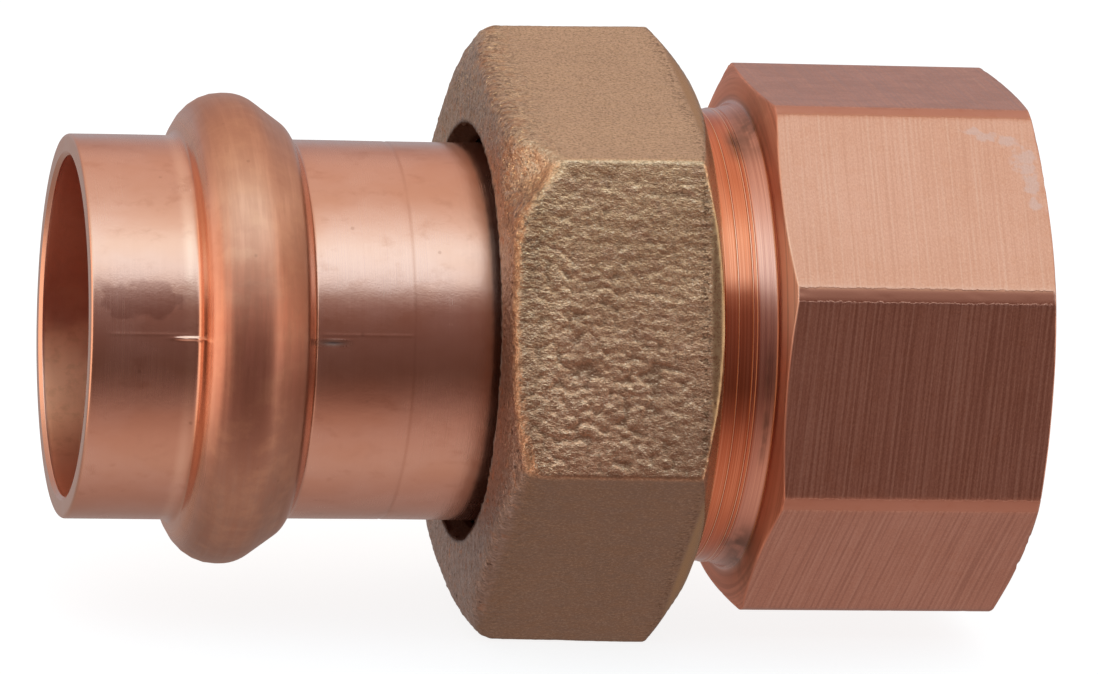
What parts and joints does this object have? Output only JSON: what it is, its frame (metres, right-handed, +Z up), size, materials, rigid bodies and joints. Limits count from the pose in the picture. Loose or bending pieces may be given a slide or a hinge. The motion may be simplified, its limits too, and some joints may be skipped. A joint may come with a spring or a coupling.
{
  "type": "pipe union",
  "caption": "Pipe union joining copper tube to male pipe thread: press socket with O-ring bead, hexagonal union nut and octagonal female-thread body.",
  "frame": {"origin": "on the flow axis at the middle of the overall length", "axes": "+X along the flow axis from the press end to the female-thread end; +Z up, square to one flat of the octagonal body; +Y completes a right-handed frame"},
  "size_m": [0.0624, 0.0398, 0.039],
  "materials": {
    "tail_copper": "satin drawn copper",
    "press_seal_rubber": "moulded EPDM",
    "nut_bronze": "rough sand-cast bronze",
    "union_seal_rubber": "moulded EPDM",
    "body_copper": "machined copper with fine cross-grained flats"
  },
  "bodies": {
    "threaded_body": {"threaded_body": "body_copper"},
    "union_seal": {"union_seal": "union_seal_rubber"},
    "union_nut": {"union_nut": "nut_bronze"},
    "press_tail": {"press_tailpiece": "tail_copper", "press_o_ring": "press_seal_rubber"}
  },
  "joints": [
    {"name": "union_draw", "type": "slide", "parent": "threaded_body", "child": "union_seal", "axis": [-1, 0, 0], "range_m": [0, 0.008]},
    {"name": "nut_turn", "type": "hinge", "parent": "union_seal", "child": "union_nut", "pos_m": [0.0005, 0, 0], "axis": [-1, 0, 0], "range_deg": [0, 1800]},
    {"name": "tail_swivel", "type": "hinge", "parent": "union_seal", "child": "press_tail", "pos_m": [-0.0105, 0, 0], "axis": [1, 0, 0], "continuous": true}
  ],
  "couplings": [
    {"joint": "union_draw", "follows": "nut_turn", "m_per_rad": 0.00025266}
  ]
}
